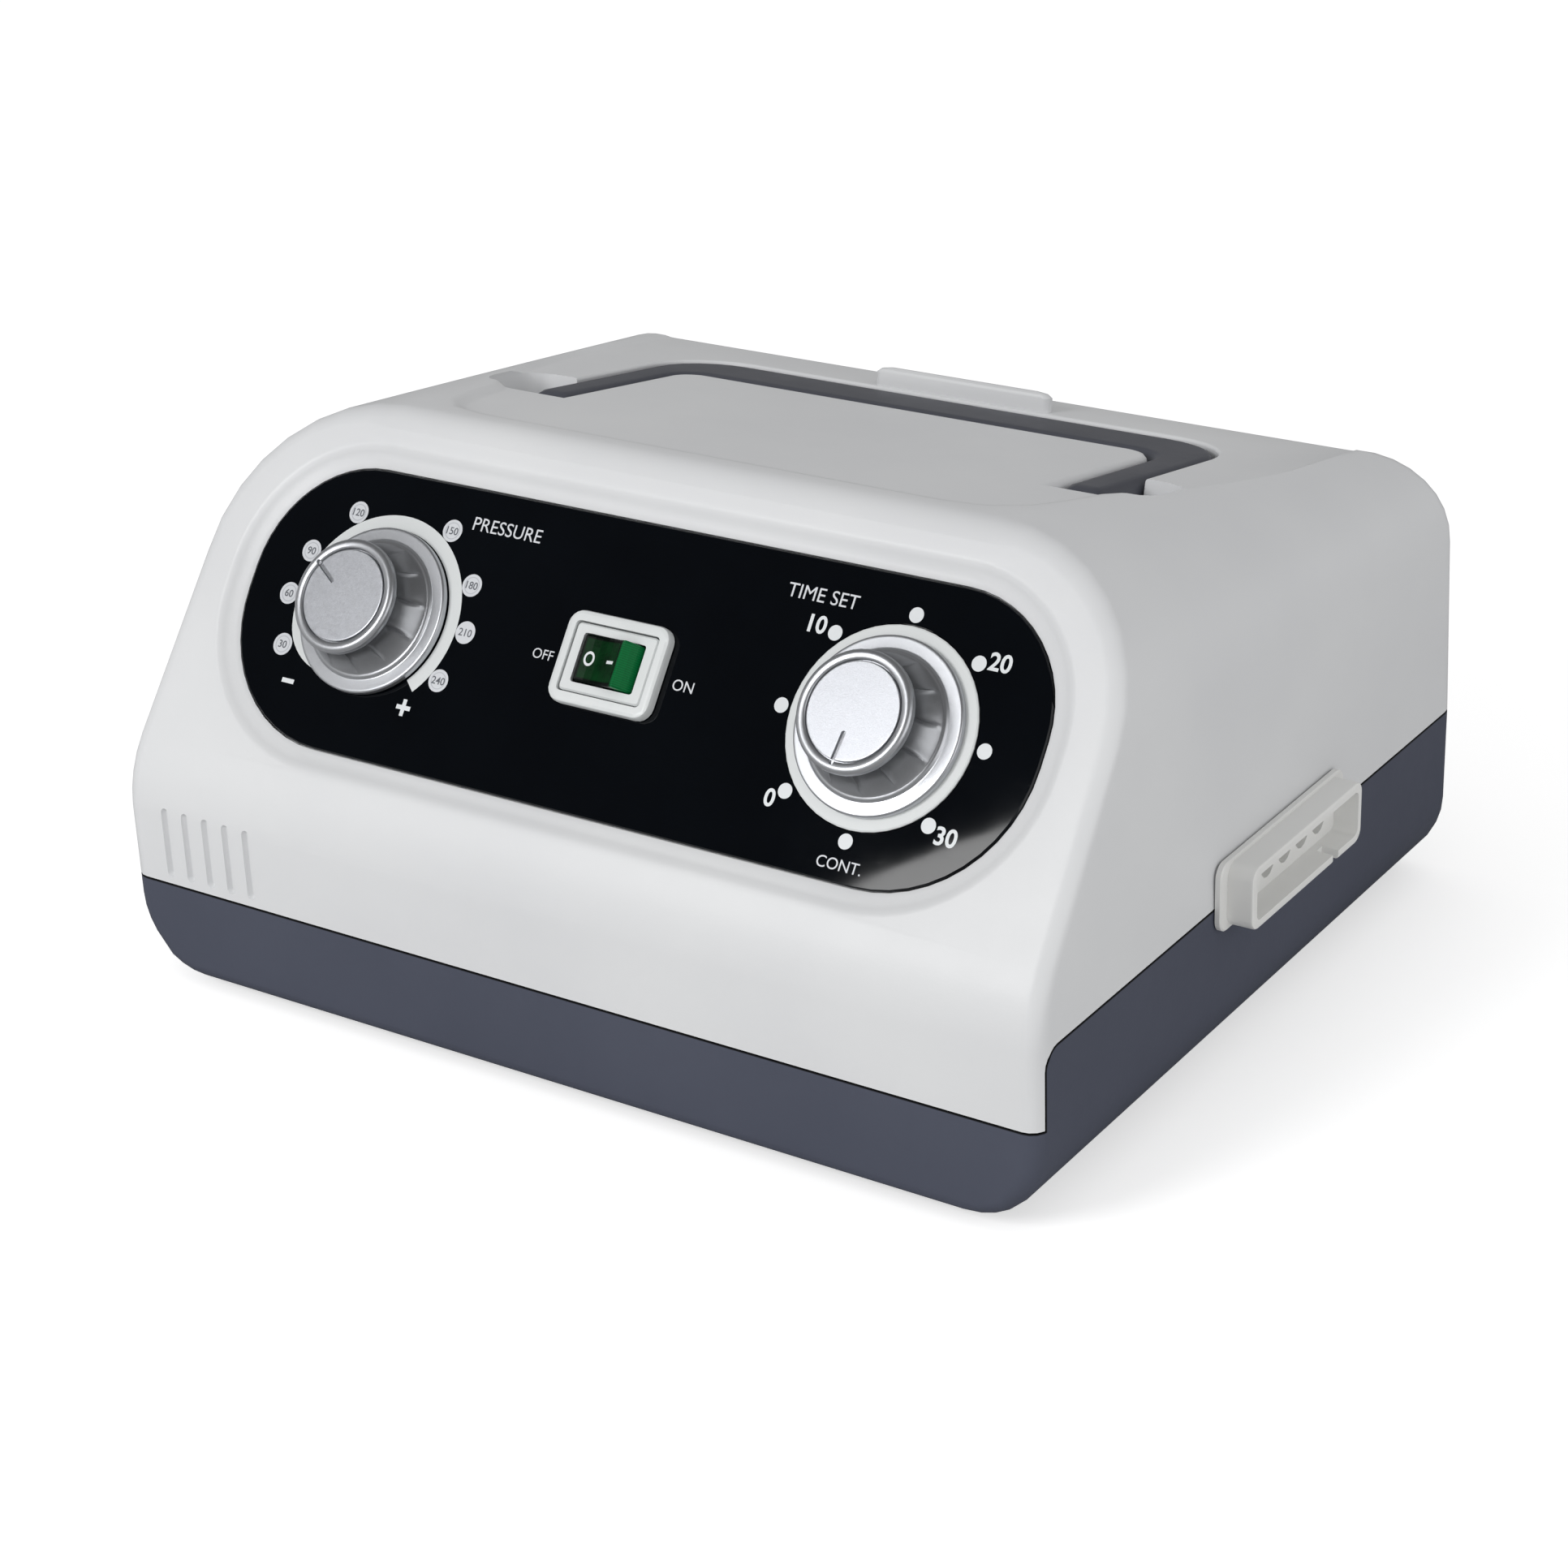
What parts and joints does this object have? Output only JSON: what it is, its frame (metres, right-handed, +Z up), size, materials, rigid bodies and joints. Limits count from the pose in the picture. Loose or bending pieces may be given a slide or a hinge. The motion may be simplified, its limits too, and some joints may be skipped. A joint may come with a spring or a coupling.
{
  "type": "compression therapy pump",
  "caption": "Tabletop air pump for compression sleeves, with a sloping black control panel, two dials, a rocker switch, a fold-flat carry handle and a side air outlet socket.",
  "frame": {"origin": "centre of the footprint on the floor the feet stand on", "axes": "+X to the user's right along the width, +Y from the control panel towards the rear, +Z up"},
  "size_m": [0.2454, 0.1989, 0.1262],
  "materials": {
    "shell_white": "moulded light grey-white, fine satin",
    "base_slate": "moulded slate, satin",
    "handle_slate": "moulded slate, satin",
    "panel_black": "near-black gloss with white print",
    "trim_white": "white, half gloss",
    "knob_satin": "satin silver paint",
    "cap_satin": "satin",
    "switch_black": "black",
    "rocker_green": "deep green, half clear",
    "socket_grey": "light grey",
    "steel": "bright",
    "brass": "plain",
    "foot_rubber": "dull black",
    "inner_black": "black",
    "pump_cast": "as cast",
    "hose_clear": "milky"
  },
  "bodies": {
    "housing": {"top_shell": "shell_white", "base_shell": "base_slate", "control_panel": "panel_black", "switch_frame": "trim_white", "switch_bezel": "trim_white", "switch_body": "switch_black", "switch_terminal_left": "brass", "switch_terminal_right": "brass", "pressure_nut": "brass", "pressure_valve": "brass", "timer_dial_ring": "trim_white", "timer_nut": "brass", "timer_body": "inner_black", "handle_pin_left": "steel", "handle_pin_right": "steel", "outlet_socket": "socket_grey", "distributor_block": "inner_black", "distributor_motor": "pump_cast", "outlet_hose_1": "hose_clear", "outlet_hose_2": "hose_clear", "outlet_hose_3": "hose_clear", "outlet_hose_4": "hose_clear", "outlet_hose_5": "hose_clear", "supply_hose": "hose_clear", "relief_hose": "hose_clear", "pump_plate": "steel", "pump_core": "inner_black", "pump_head_left": "pump_cast", "pump_head_right": "pump_cast", "pump_mount_front_left": "foot_rubber", "pump_mount_front_right": "foot_rubber", "pump_mount_rear_left": "foot_rubber", "pump_mount_rear_right": "foot_rubber", "power_inlet": "switch_black", "inlet_blade_left": "brass", "inlet_blade_right": "brass", "inlet_blade_earth": "brass", "fuse_drawer": "inner_black", "case_screw_front_left": "steel", "case_screw_front_right": "steel", "case_screw_rear_left": "steel", "case_screw_rear_right": "steel", "foot_front_left": "foot_rubber", "foot_front_right": "foot_rubber", "foot_rear_left": "foot_rubber", "foot_rear_right": "foot_rubber"},
    "handle": {"carry_handle": "handle_slate"},
    "pressure_dial": {"pressure_knob": "knob_satin", "pressure_knob_cap": "cap_satin", "pressure_shaft": "steel"},
    "timer_dial": {"timer_knob": "knob_satin", "timer_knob_cap": "cap_satin", "timer_shaft": "steel"},
    "rocker": {"switch_rocker": "rocker_green"}
  },
  "joints": [
    {"name": "handle_hinge", "type": "hinge", "parent": "housing", "child": "handle", "pos_m": [-0.0038, 0.00603, 0.11177], "axis": [1, 0, 0], "range_deg": [0, 95]},
    {"name": "pressure_turn", "type": "hinge", "parent": "housing", "child": "pressure_dial", "pos_m": [-0.0693, -0.06905, 0.08898], "axis": [0, -0.8028, 0.5962], "range_deg": [-192, 78]},
    {"name": "timer_turn", "type": "hinge", "parent": "housing", "child": "timer_dial", "pos_m": [0.0617, -0.06905, 0.08898], "axis": [0, -0.8028, 0.5962], "range_deg": [-309, 6]},
    {"name": "rocker_tip", "type": "hinge", "parent": "housing", "child": "rocker", "pos_m": [-0.0046, -0.06865, 0.08869], "axis": [0, 0.5962, 0.8028], "range_deg": [0, 24]}
  ]
}
